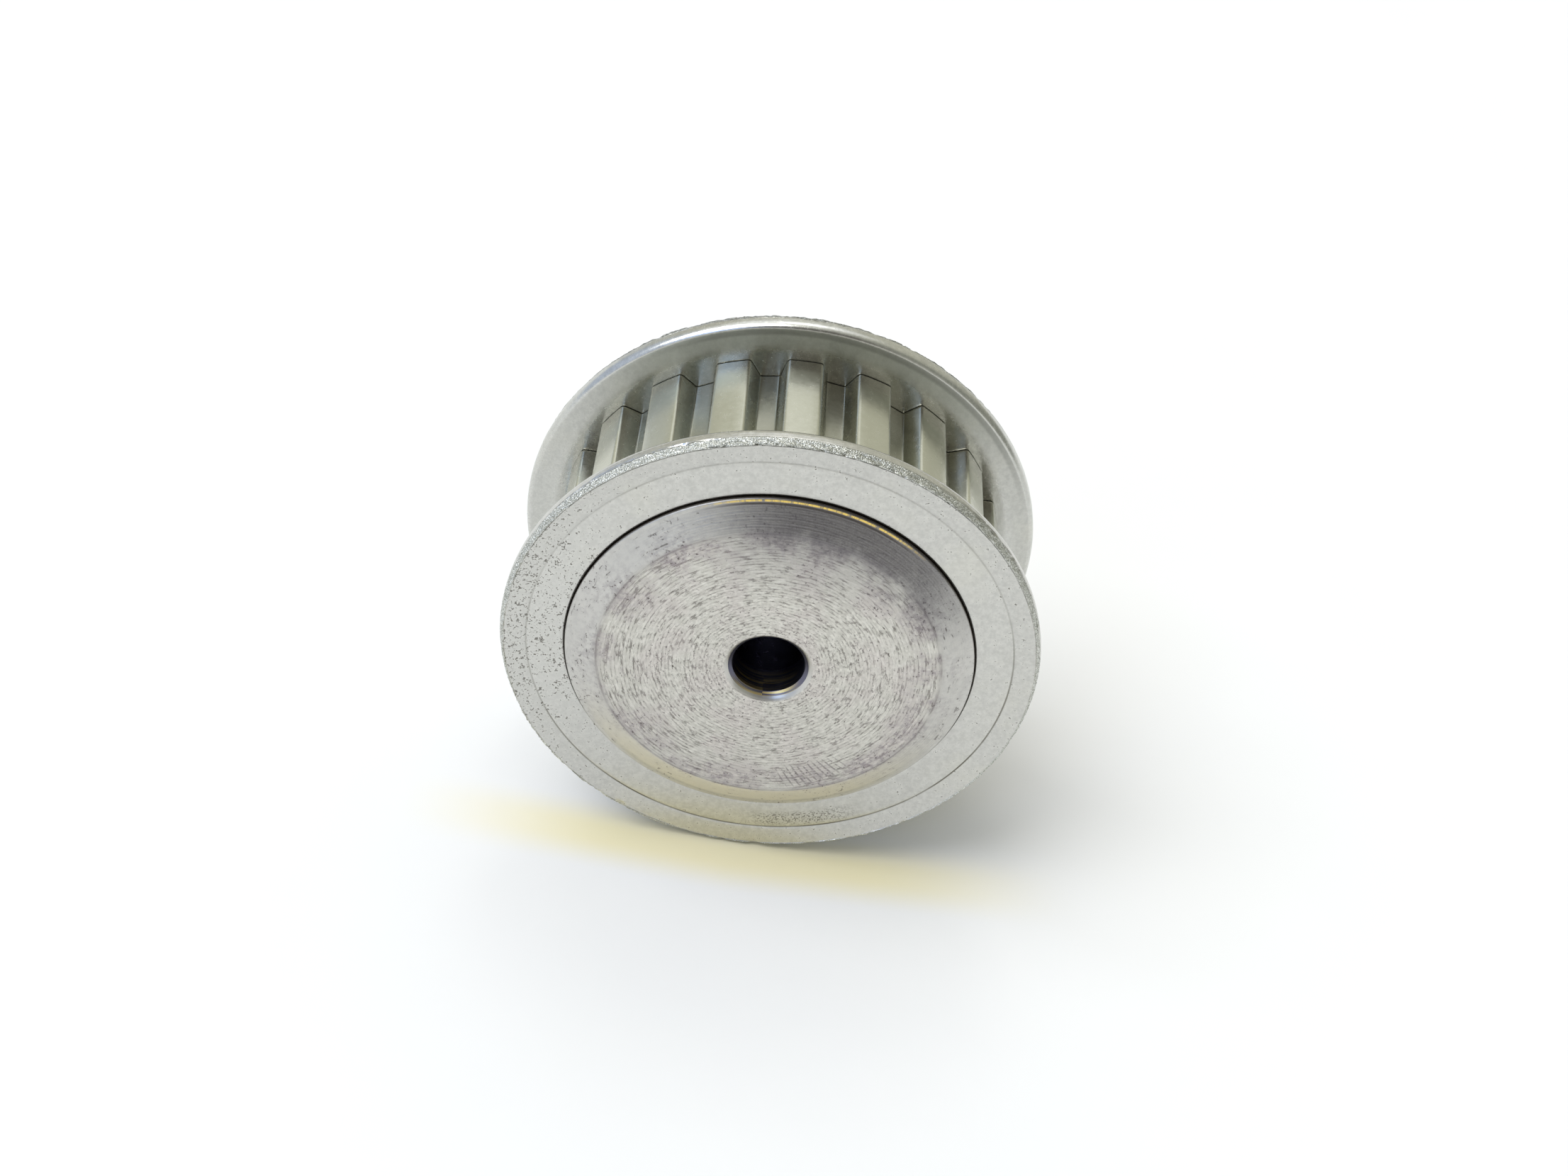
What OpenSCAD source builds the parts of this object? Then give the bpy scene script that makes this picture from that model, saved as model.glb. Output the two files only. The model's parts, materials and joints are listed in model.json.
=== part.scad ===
// Flanged timing belt pulley with a hub on one side and two grub screws.
// The bore lies along Y and the marked face looks towards -Y. The origin is
// on the bore axis, half way between the two flanges.

/* [Toothing] */
// Belt pitch (mm)
belt_pitch = 5.08; // [5.08]
// Number of teeth
teeth = 20; // [19:1:21]
// Depth from tooth tip to belt pitch line (mm)
pitch_line_rise = 0.254; // [0.2:0.001:0.3]
// Width of the groove bottom (mm)
groove_w = 1.32; // [1.2:0.01:1.4]
// Depth of a groove below the tooth tips (mm)
groove_depth = 1.4; // [1.25:0.05:1.65]
// Slope of a groove side from the groove's centre line (degrees)
groove_angle = 25; // [23:0.5:27]
// Radius in the bottom corners of a groove (mm)
root_r = 0.2; // [0.15:0.01:0.45]
// Radius on the tooth tips (mm)
tip_r = 0.3; // [0.2:0.01:0.65]
// Clear width between the flanges (mm)
face_w = 11.3; // [10.4:0.1:14]
// Angle of the topmost tooth, clockwise from straight up (degrees)
tooth_phase = -2.7; // [-9:0.1:9]

/* [Flanges] */
// Outside diameter of a flange (mm)
flange_d = 37; // [36.4:0.1:38]
// Sheet thickness of a flange (mm)
flange_t = 1.5; // [1.4:0.1:1.9]
// Diameter at which the rim starts to lean outwards (mm)
bend_d = 33.3; // [32.8:0.1:33.8]
// Lean of the rim away from the belt (degrees)
flare_angle = 9; // [6:1:12]
// Width of the rounded punching edge on the belt side (mm)
roll_w = 0.35; // [0.3:0.05:0.45]
// Height of the rounded punching edge on the rim (mm)
roll_h = 0.6; // [0.4:0.05:0.65]
// Width of the smooth sheared band on the rim (mm)
shear_band = 0.35; // [0.2:0.05:0.5]
// Inward taper of the torn band on the rim (mm)
tear_taper = 0.2; // [0.1:0.02:0.3]
// Clearance of the flange hole on its shoulder, on the radius (mm)
flange_gap = 0.02; // [0.01:0.01:0.05]

/* [Boss and staking] */
// Diameter of the shoulders that carry the flanges (mm)
shoulder_d = 27.5; // [27:0.1:27.8]
// Diameter of the staked lips that hold the flanges (mm)
lip_d = 28; // [27.9:0.05:28.2]
// Diameter where the staked slope starts (mm)
stake_d = 23.6; // [23.4:0.1:24.4]
// Height of the front face above the front flange (mm)
boss_h = 1.1; // [0.8:0.05:1.2]
// Height of the staked lip at its edge (mm)
lip_h = 0.27; // [0.22:0.01:0.35]
// Radius on the edge of the staked lip (mm)
lip_edge_r = 0.15; // [0.1:0.01:0.18]

/* [Hub and bore] */
// Hub diameter (mm)
hub_d = 23; // [20:0.5:23]
// Hub length beyond the rear flange (mm)
hub_l = 6.4; // [6:0.1:9]
// Bore diameter (mm)
bore_d = 5; // [4:0.05:6.35]
// Chamfer at both ends of the bore (mm)
bore_chamfer = 0.5; // [0.3:0.05:0.8]
// Chamfer on the hub's outer edge (mm)
hub_chamfer = 0.4; // [0.2:0.05:0.8]

/* [Grub screws] */
// Thread diameter (mm)
screw_d = 4; // [4]
// Screw length (mm)
screw_l = 8; // [6:1:8]
// Distance of the screws from the hub's end (mm)
screw_from_end = 2.7; // [2.6:0.1:2.8]
// Clearance in the tapped hole, on the radius (mm)
thread_gap = 0.05; // [0.03:0.01:0.08]
// Gap left between the screw point and the bore wall (mm)
point_gap = 0.1; // [0.05:0.05:0.5]
// Width across the flats of the hexagon socket (mm)
socket_af = 2; // [1.5:0.5:2]
// Depth of the hexagon socket (mm)
socket_depth = 2.5; // [1.5:0.1:3]
// Diameter of the cup point (mm)
cup_d = 2; // [1.6:0.1:2.2]
// Chamfer at the outer end of the screw (mm)
screw_chamfer = 0.4; // [0.2:0.05:0.5]

/* [Hidden] */
$fn = 96;

over = 0.5;
burr = 0.1;
outer_r = teeth * belt_pitch / PI / 2 - pitch_line_rise;
root_radius = outer_r - groove_depth;
half_face = face_w / 2;
flange_out = half_face + flange_t;
front_y = -(flange_out + boss_h);
rear_y = flange_out + hub_l;
screw_y = rear_y - screw_from_end;
bore_r = bore_d / 2;
hub_r = hub_d / 2;
flange_r = flange_d / 2;
shoulder_r = shoulder_d / 2;
lip_r = lip_d / 2;
stake_r = stake_d / 2;
screw_r = screw_d / 2 - thread_gap;

// Places its children's Z axis along the bore, +Z pointing to the hub's end.
module along_bore() {
    rotate([-90, 0, 0])
        children();
}

// Small steps round a circle or an ellipse, from one angle to another.
function arc(cx, cy, rx, ry, from, to, steps) = [
    for (i = [0 : steps])
        let (a = from + (to - from) * i / steps)
            [cx + rx * cos(a), cy + ry * sin(a)]
];

// Staked lip beyond a flange, as heights above the flange's outer face.
function lip_profile() = concat(
    [[shoulder_r, 0]],
    [[lip_r - lip_edge_r / 3, 0]],
    arc(lip_r - lip_edge_r, lip_h - lip_edge_r, lip_edge_r, lip_edge_r, 0, 75, 4),
    [[stake_r, boss_h]]
);

// Half section of the turned body, from the front face to the hub's end.
module body_profile() {
    lip = lip_profile();
    last = len(lip) - 1;
    front_lip = [for (i = [last : -1 : 0]) [lip[i][0], -flange_out - lip[i][1]]];
    rear_lip = [for (p = lip) [p[0], flange_out + p[1]]];
    polygon(concat(
        [[0, front_y]],
        front_lip,
        [[shoulder_r, -half_face], [outer_r, -half_face]],
        [[outer_r, half_face], [shoulder_r, half_face]],
        rear_lip,
        [[hub_r, flange_out + boss_h]],
        [[hub_r, rear_y - hub_chamfer], [hub_r - hub_chamfer, rear_y], [0, rear_y]]
    ));
}

// One tooth tip corner to be rounded off, left of or right of a groove.
module tip_corner() {
    c = cos(groove_angle);
    s = sin(groove_angle);
    across = tip_r + groove_w / 2 * c - root_radius * s;
    along = sqrt(pow(outer_r - tip_r, 2) - pow(across, 2));
    centre = [across * c + along * s, along * c - across * s];
    flank = centre - tip_r * [c, -s];
    crest = centre * outer_r / (outer_r - tip_r);
    difference() {
        polygon([
            flank - 0.2 * [c, -s],
            flank + (tip_r + over) * [s, c] - 0.2 * [c, -s],
            crest * (1 + over / outer_r),
            crest,
            centre
        ]);
        translate(centre)
            circle(r = tip_r, $fn = 48);
    }
}

// Cross-section of the material removed for one groove, open at the top.
module groove_section() {
    c = cos(groove_angle);
    s = sin(groove_angle);
    tan_l = root_r * tan((90 - groove_angle) / 2);
    top_y = outer_r + over;
    top_w = groove_w / 2 + (top_y - root_radius) * s / c;
    foot = groove_w / 2 - tan_l;
    side = [groove_w / 2 + tan_l * s, root_radius + tan_l * c];
    polygon([
        [-foot, root_radius],
        [foot, root_radius],
        side,
        [top_w, top_y],
        [-top_w, top_y],
        [-side[0], side[1]]
    ]);
    for (sx = [-1, 1])
        translate([sx * foot, root_radius + root_r])
            circle(r = root_r, $fn = 48);
    tip_corner();
    mirror([1, 0, 0])
        tip_corner();
}

module grooves() {
    step = 360 / teeth;
    for (i = [0 : teeth - 1])
        rotate([0, 0, 180 + tooth_phase + step * (i + 0.5)])
            translate([0, 0, -half_face - over / 2])
                linear_extrude(height = face_w + over)
                    groove_section();
}

module bore() {
    translate([0, 0, front_y - over])
        cylinder(h = rear_y - front_y + 2 * over, r = bore_r);
    translate([0, 0, front_y - over])
        cylinder(h = bore_chamfer + over, r1 = bore_r + bore_chamfer + over, r2 = bore_r);
    translate([0, 0, rear_y - bore_chamfer])
        cylinder(h = bore_chamfer + over, r1 = bore_r, r2 = bore_r + bore_chamfer + over);
}

// Tapped hole from the bore out through the hub, in the part's own frame.
module tapped_hole(direction) {
    translate([0, screw_y, 0])
        rotate(direction) {
            cylinder(h = hub_r + over, r = screw_d / 2);
            translate([0, 0, hub_r - screw_chamfer])
                cylinder(h = screw_chamfer + burr, r1 = screw_d / 2,
                    r2 = screw_d / 2 + screw_chamfer + burr);
        }
}

module toothed_body() {
    color([0.75, 0.75, 0.74])
        difference() {
            along_bore()
                difference() {
                    rotate_extrude()
                        body_profile();
                    grooves();
                    bore();
                }
            tapped_hole([0, 0, 0]);
            tapped_hole([0, 90, 0]);
        }
}

// Pressed sheet ring, its flat belt side on z = 0 and its rim leaning to +Z.
module flange_ring() {
    hole_r = shoulder_r + flange_gap;
    bend_r = bend_d / 2;
    lean = tan(flare_angle);
    roll_c = [flange_r - roll_w, (flange_r - roll_w - bend_r) * lean + roll_h];
    edge_r = flange_r - tear_taper;
    rotate_extrude()
        polygon(concat(
            [[hole_r, burr], [hole_r + burr, 0], [bend_r - burr, 0]],
            arc(roll_c[0], roll_c[1], roll_w, roll_h, -90, 0, 5),
            [[flange_r, roll_c[1] + shear_band]],
            [[edge_r, flange_t + (edge_r - bend_r) * lean]],
            [[bend_r, flange_t], [hole_r, flange_t]]
        ));
}

module front_flange() {
    color([0.8, 0.82, 0.8])
        along_bore()
            translate([0, 0, -half_face])
                mirror([0, 0, 1])
                    flange_ring();
}

module rear_flange() {
    color([0.8, 0.82, 0.8])
        along_bore()
            translate([0, 0, half_face])
                flange_ring();
}

// Grub screw with its point at z = 0 and its socket at the far end.
module grub_screw() {
    socket_r = socket_af / 2 / cos(30);
    point_h = screw_r - cup_d / 2;
    cup_h = cup_d / 2 * tan(30);
    difference() {
        union() {
            cylinder(h = point_h, r1 = cup_d / 2, r2 = screw_r);
            translate([0, 0, point_h])
                cylinder(h = screw_l - point_h - screw_chamfer, r = screw_r);
            translate([0, 0, screw_l - screw_chamfer])
                cylinder(h = screw_chamfer, r1 = screw_r, r2 = screw_r - screw_chamfer);
        }
        translate([0, 0, screw_l - socket_depth])
            cylinder(h = socket_depth + over, r = socket_r, $fn = 6);
        translate([0, 0, screw_l - socket_depth - socket_r / 2])
            cylinder(h = socket_r / 2, r1 = 0, r2 = socket_af / 2);
        translate([0, 0, -over])
            cylinder(h = over + cup_h, r1 = cup_d / 2 * (1 + over / cup_h), r2 = 0);
    }
}

module grub_screw_top() {
    color([0.16, 0.16, 0.17])
        translate([0, screw_y, bore_r + point_gap])
            grub_screw();
}

module grub_screw_side() {
    color([0.16, 0.16, 0.17])
        translate([bore_r + point_gap, screw_y, 0])
            rotate([0, 90, 0])
                grub_screw();
}

toothed_body();
front_flange();
rear_flange();
grub_screw_top();
grub_screw_side();
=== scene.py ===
"""Looks of a timing belt pulley: turned body, two plated sheet flanges, two blackened grub screws.

Lengths in the named values are in millimetres and are scaled once, when a mesh is made.
Angles run from straight up towards +X, as seen from the front, the end without the hub.
"""

import json
import math

import bpy
import numpy as np
from mathutils import Matrix, Vector

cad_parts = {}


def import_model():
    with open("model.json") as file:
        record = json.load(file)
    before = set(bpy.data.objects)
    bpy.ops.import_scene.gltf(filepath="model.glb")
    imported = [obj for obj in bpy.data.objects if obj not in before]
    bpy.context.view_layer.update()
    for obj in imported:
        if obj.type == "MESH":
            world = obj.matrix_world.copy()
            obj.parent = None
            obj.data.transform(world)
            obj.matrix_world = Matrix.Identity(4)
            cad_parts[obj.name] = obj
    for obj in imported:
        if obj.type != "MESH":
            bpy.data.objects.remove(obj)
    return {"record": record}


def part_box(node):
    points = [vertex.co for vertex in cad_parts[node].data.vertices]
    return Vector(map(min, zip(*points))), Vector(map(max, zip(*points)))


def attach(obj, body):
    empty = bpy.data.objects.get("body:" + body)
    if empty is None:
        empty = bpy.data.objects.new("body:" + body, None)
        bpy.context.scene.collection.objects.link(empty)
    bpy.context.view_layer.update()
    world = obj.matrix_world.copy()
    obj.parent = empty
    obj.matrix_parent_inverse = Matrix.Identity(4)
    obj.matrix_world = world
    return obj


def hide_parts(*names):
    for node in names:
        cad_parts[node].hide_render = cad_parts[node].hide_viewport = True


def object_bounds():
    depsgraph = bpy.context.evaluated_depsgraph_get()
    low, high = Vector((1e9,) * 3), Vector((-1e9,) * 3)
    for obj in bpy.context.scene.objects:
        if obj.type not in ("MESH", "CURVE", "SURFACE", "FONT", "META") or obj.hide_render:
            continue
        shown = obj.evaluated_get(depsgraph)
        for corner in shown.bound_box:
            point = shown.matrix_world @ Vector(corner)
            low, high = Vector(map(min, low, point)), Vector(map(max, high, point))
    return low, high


MM = 0.001
SEED = 20

# Toothed body
TEETH = 20
BELT_PITCH = 5.08
PITCH_LINE_RISE = 0.254
GROOVE_WIDTH = 1.32
GROOVE_DEPTH = 1.4
GROOVE_ANGLE = 25.0
ROOT_RADIUS = 0.2
TIP_RADIUS = 0.3
TOOTH_PHASE = -2.7
SHOULDER_R = 13.75
LIP_R = 14.0
STAKE_R = 11.8
LIP_HEIGHT = 0.27
BOSS_HEIGHT = 1.1
HUB_R = 11.5
HUB_CHAMFER = 0.4
BORE_CHAMFER = 0.5
TOOTH_END_GAP = 0.07

# Flanges
FLANGE_T = 1.5
HOLE_R = 13.77
BEND_R = 16.65
FLARE = 9.0
ROLL_W = 0.35
ROLL_H = 0.6
SHEAR_BAND = 0.35
TEAR_TAPER = 0.2
RIM_STEPS = 1200
TORN_DULL = (0.42, 0.43, 0.38)
TORN_BRIGHT = (0.92, 0.93, 0.88)

# Grub screws and their tapped holes
THREAD_PITCH = 0.7
THREAD_R = 1.95
THREAD_DEPTH = 0.4
CREST = 0.0437
HOLE_MAJOR_R = 2.0
HOLE_MINOR_R = 1.72
FLANK_GAP = 0.09
CUP_R = 1.0
SOCKET_AF = 2.0
SOCKET_DEPTH = 2.5
SCREW_CHAMFER = 0.4
SCREW_STEPS = 96
SAMPLES_PER_PITCH = 18
HOLE_STEPS = 72
HOLE_SAMPLES = 12

# Surroundings: (towards, alignment where the patch starts, alignment where it is full, colour)
BACKDROP_COLOUR = (0.96, 0.96, 0.955)
ROOM_COLOUR = (0.67, 0.67, 0.63)
LEFT_WINDOW = ((-1, 0, 0.2), 0.3, 0.85, (0.60, 0.68, 0.84))
DIM_RIGHT = ((1, 0.2, 0.5), 0.25, 0.8, (0.33, 0.34, 0.30))
WARM_BEHIND = ((0.1, 1, 0.8), 0.4, 0.9, (0.64, 0.64, 0.55))
DARK_HIGH_IN_FRONT = ((-0.05, -0.75, 0.75), 0.80, 0.96, (0.16, 0.15, 0.13))
BRIGHT_OVERHEAD = ((-0.1, 0.5, 0.85), 0.84, 0.98, (1.25, 1.27, 1.28))

# Camera: place in millimetres, and the directions behind it and to its right
CAMERA_PLACE = (-9.93, -113.25, 95.95)
CAMERA_BACK = (-0.071, -0.762, 0.643)
CAMERA_RIGHT = (0.985, 0.049, 0.167)
CAMERA_LENS = 48.17

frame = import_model()
START_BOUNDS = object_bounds()


# ---------------------------------------------------------------- mesh helpers


def limits(node):
    """Lowest and highest corner of a CAD node, in millimetres."""
    low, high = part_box(node)
    return np.array(low) / MM, np.array(high) / MM


def subdivide(points, step):
    """Adds points along straight runs so that none is longer than step."""
    out = [points[0]]
    for a, b in zip(points[:-1], points[1:]):
        count = max(1, math.ceil(math.dist(a, b) / step))
        for k in range(1, count + 1):
            out.append((a[0] + (b[0] - a[0]) * k / count, a[1] + (b[1] - a[1]) * k / count))
    return out


def arc(centre, radius, start, end, count, rise=None):
    """Points on an arc, from one angle to another in degrees; rise makes it part of an ellipse."""
    angles = np.radians(np.linspace(start, end, count))
    return [(centre[0] + radius * math.cos(a), centre[1] + (rise or radius) * math.sin(a)) for a in angles]


def smoothstep(value, low, high):
    """0 below low, 1 above high, smooth between."""
    t = np.clip((value - low) / (high - low), 0, 1)
    return t * t * (3 - 2 * t)


def ring_noise(rng, rings, steps, along, across):
    """Smooth noise of unit spread over rings x steps that joins up round each ring."""
    noise = np.fft.rfft(rng.normal(size=(rings, steps)), axis=1)
    freq = np.arange(noise.shape[1]) / steps
    noise *= np.exp(-((freq * along * 2) ** 2) * 4)
    noise = np.fft.irfft(noise, n=steps, axis=1)
    if across > 0:
        kernel = np.exp(-0.5 * (np.arange(-8, 9) / across) ** 2)
        padded = np.pad(noise, ((8, 8), (0, 0)), mode="reflect" if rings > 8 else "edge")
        noise = sum(k * padded[i : i + rings] for i, k in enumerate(kernel))
    return noise / noise.std()


def mesh_from_rings(name, points, wrap, poles=None):
    """A closed mesh from points[ring, step]; wrap joins last ring to first, poles close the ends."""
    rings, steps = points.shape[:2]
    here = np.arange(steps)
    ahead = np.roll(here, -1)
    faces = []
    for j in range(rings if wrap else rings - 1):
        a, b = j * steps, (j + 1) % rings * steps
        faces.extend(np.stack([a + here, a + ahead, b + ahead, b + here], 1).tolist())
    vertices = points.reshape(-1, 3)
    if poles is not None:
        vertices = np.concatenate([vertices, np.array(poles, float)])
        first, last = rings * steps, rings * steps + 1
        end = (rings - 1) * steps
        faces.extend([first, int(n), int(i)] for i, n in zip(here, ahead))
        faces.extend([last, int(end + i), int(end + n)] for i, n in zip(here, ahead))
    mesh = bpy.data.meshes.new(name)
    mesh.from_pydata((vertices * MM).tolist(), [], faces)
    mesh.update()
    piece = bpy.data.objects.new(name, mesh)
    bpy.context.scene.collection.objects.link(piece)
    return piece


def smooth_but_sharp(piece, degrees):
    """Smooth shading, with edges steeper than that angle left sharp."""
    piece.data.shade_smooth()
    piece.data.set_sharp_from_angle(angle=math.radians(degrees))


def turned(name, radii, heights, angles):
    """A mesh of rings round the bore axis; the last ring joins the first."""
    a = np.radians(angles)[None, :]
    points = np.stack([radii * np.sin(a), heights + 0 * a, radii * np.cos(a)], axis=2)
    return mesh_from_rings(name, points, wrap=True)


# ---------------------------------------------------------------- toothed body


def groove_half():
    """(angle, radius) from the middle of a groove to the middle of the next land."""
    c, s = math.cos(math.radians(GROOVE_ANGLE)), math.sin(math.radians(GROOVE_ANGLE))
    outer = TEETH * BELT_PITCH / math.pi / 2 - PITCH_LINE_RISE
    root = outer - GROOVE_DEPTH
    foot = GROOVE_WIDTH / 2 - ROOT_RADIUS * math.tan(math.radians((90 - GROOVE_ANGLE) / 2))
    across = TIP_RADIUS + GROOVE_WIDTH / 2 * c - root * s
    along = math.sqrt((outer - TIP_RADIUS) ** 2 - across**2)
    tip = (across * c + along * s, along * c - across * s)
    lean = math.degrees(math.atan2(tip[1], tip[0]))
    points = [(0, root), (foot / 2, root)]
    points += arc((foot, root + ROOT_RADIUS), ROOT_RADIUS, -90, -GROOVE_ANGLE, 5)
    flank_end = arc(tip, TIP_RADIUS, 180 - GROOVE_ANGLE, lean, 5)
    points.append(tuple((np.array(points[-1]) + np.array(flank_end[0])) / 2))
    points += flank_end
    half = [(math.degrees(math.atan2(x, y)), math.hypot(x, y)) for x, y in points]
    land = 180 / TEETH - half[-1][0]
    half += [(half[-1][0] + land * k / 2, outer) for k in (1, 2)]
    return half


def tooth_ring():
    """Angles round the pulley and the toothed radius at each."""
    half = groove_half()
    mirrored = [(-a, r) for a, r in reversed(half[1:-1])]
    one = mirrored + half
    angles, radii = [], []
    for tooth in range(TEETH):
        middle = TOOTH_PHASE + (tooth + 0.5) * 360 / TEETH
        angles += [middle + a for a, r in one]
        radii += [r for a, r in one]
    return np.array(angles), np.array(radii)


def end_profile(face_y, out, sign):
    """Boss beyond one flange's flat at height out, from the boss's face down to the shoulder wall."""
    stake = face_y * sign
    lip_top = out + LIP_HEIGHT
    edge = 0.15
    points = [(STAKE_R - 0.12, stake), (STAKE_R + 0.02, stake - 0.02)]
    points += subdivide([(STAKE_R + 0.14, stake - 0.055), (LIP_R - edge * 1.3, lip_top)], 0.28)
    points += arc((LIP_R - edge, lip_top - edge), edge, 70, -10, 5)
    points += [(LIP_R - 0.03, out + 0.01), (SHOULDER_R, out - 0.08), (SHOULDER_R, half_face() + 0.3)]
    return [(r, sign * h) for r, h in points]


def body_rings(low, high):
    """(radius, height, toothed share) of every ring, from the bore's rear mouth round and back."""
    front, rear = low[1], high[1]
    out = half_face() + FLANGE_T
    bore = bore_radius()
    mouth = bore + BORE_CHAMFER
    wall = subdivide([(bore, rear - BORE_CHAMFER), (bore, front + BORE_CHAMFER)], 2.0)
    rings = [(r, y, 0) for r, y in wall]
    rings += [(bore + 0.25, front + 0.25, 0), (mouth - 0.02, front + 0.02, 0)]
    rings += [(r, y, 0) for r, y in subdivide([(mouth + 0.05, front), (STAKE_R - 0.2, front)], 0.35)]
    rings += [(r, y, 0) for r, y in end_profile(front, out, -1)]
    edge = half_face()
    seam = edge - TOOTH_END_GAP
    rings += [(SHOULDER_R, -seam, 0), (-0.03, -seam, 1), (0, -seam + 0.03, 1)]
    rings += [(0, y, 1) for y in np.linspace(-edge + 0.3, edge - 0.3, 14)]
    rings += [(0, seam - 0.03, 1), (-0.03, seam, 1), (SHOULDER_R, seam, 0)]
    rings += [(r, y, 0) for r, y in reversed(end_profile(out + BOSS_HEIGHT, out, 1))]
    hub = [(HUB_R + 0.05, out + BOSS_HEIGHT), (HUB_R, out + BOSS_HEIGHT + 0.05)]
    hub += [(HUB_R, rear - HUB_CHAMFER - 0.02), (HUB_R - 0.02, rear - HUB_CHAMFER)]
    hub += [(HUB_R - HUB_CHAMFER + 0.02, rear - 0.02), (HUB_R - HUB_CHAMFER - 0.02, rear)]
    hub_end = [(HUB_R - HUB_CHAMFER - 0.3, rear), (mouth + 0.05, rear)]
    rings += [(r, y, 0) for r, y in subdivide(hub, 0.6) + subdivide(hub_end, 0.5)]
    rings += [(mouth - 0.02, rear - 0.02, 0), (bore + 0.25, rear - 0.25, 0)]
    return rings


def half_face():
    """Half the distance between the belt sides of the two flanges."""
    return float(limits("rear_flange")[0][1])


def bore_radius():
    """The bore mount's radius."""
    mount = [m for m in frame["record"]["mounts"] if m["name"] == "bore"][0]
    return mount["dims"]["r_mm"]


def worn_face(rng, radii, heights, front):
    """Handling dents and a slight dishing in the front face."""
    face = smoothstep(front + 0.3 - heights, 0.0, 0.25) * (radii > 3.2) * (radii < STAKE_R + 1.6)
    dents = ring_noise(rng, *radii.shape, 9, 1.6)
    swell = ring_noise(rng, *radii.shape, 60, 5)
    return face * (0.012 * np.clip(dents - 1.7, 0, 2) + 0.005 * np.clip(swell + 1.5, 0, 3))


def toothed_body():
    """The body's visual mesh, with its two tapped holes cut."""
    low, high = limits("toothed_body")
    angles, teeth = tooth_ring()
    rings = body_rings(low, high)
    toothed = np.array([t for r, y, t in rings])[:, None]
    radii = np.array([r for r, y, t in rings])[:, None] + toothed * teeth[None, :]
    heights = np.array([y for r, y, t in rings])[:, None] + 0 * radii
    rng = np.random.default_rng(SEED)
    heights = heights + worn_face(rng, radii, heights, low[1])
    body = turned("aluminium_body", radii, heights, angles)
    for node, turn in (("grub_screw_top", 0.0), ("grub_screw_side", 90.0)):
        cut_tapped_hole(body, node, turn)
    smooth_but_sharp(body, 32)
    return body


# ---------------------------------------------------------------- threads and screws


def thread_phase(z, turn):
    """Distance along the axis from the nearest crest of a right-hand thread."""
    u = np.mod(z / THREAD_PITCH - turn / (2 * math.pi), 1.0)
    return np.abs(u - 0.5) * THREAD_PITCH


def screw_matrix(node, turn):
    """Places a mesh made along +Z so that z = 0 is the screw's point."""
    low, high = limits(node)
    centre = (low + high) / 2
    if turn:
        place = Vector((low[0], centre[1], centre[2]))
        spin = Matrix.Rotation(math.radians(90), 4, "Y")
    else:
        place = Vector((centre[0], centre[1], low[2]))
        spin = Matrix.Identity(4)
    return Matrix.Translation(place * MM) @ spin


def cut_tapped_hole(body, node, turn):
    """Cuts the threaded hole that the screw runs in, with its countersunk mouth."""
    low, high = limits(node)
    point = low[0] if turn else low[2]
    length = HUB_R - point
    z = np.arange(0.6 - point, length + 0.1, THREAD_PITCH / HOLE_SAMPLES)
    around = np.linspace(0, 2 * math.pi, HOLE_STEPS, endpoint=False)
    away = thread_phase(z[:, None], around[None, :])
    slope = math.tan(math.radians(30))
    radius = np.clip(HOLE_MAJOR_R - (away - CREST - FLANK_GAP) / slope, HOLE_MINOR_R, HOLE_MAJOR_R)
    mouth = HOLE_MAJOR_R + 0.02 + z[:, None] - (length - HUB_CHAMFER)
    radius = np.maximum(radius, mouth)
    points = np.stack([radius * np.cos(around), radius * np.sin(around), z[:, None] + 0 * radius], axis=2)
    poles = [(0, 0, z[0]), (0, 0, z[-1])]
    cutter = mesh_from_rings("cutter_" + node, points, wrap=False, poles=poles)
    cutter.matrix_world = screw_matrix(node, turn)
    cut = body.modifiers.new("tapped_hole", "BOOLEAN")
    cut.operation, cut.solver, cut.object = "DIFFERENCE", "EXACT", cutter
    bpy.context.view_layer.update()
    solved = bpy.data.meshes.new_from_object(body.evaluated_get(bpy.context.evaluated_depsgraph_get()))
    body.modifiers.clear()
    body.data = solved
    bpy.data.objects.remove(cutter)


def hexagon(around, flats):
    """Radius of a hexagon of that width across flats, at each angle."""
    sector = math.pi / 3
    return flats / 2 / np.cos(np.mod(around, sector) - sector / 2)


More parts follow.
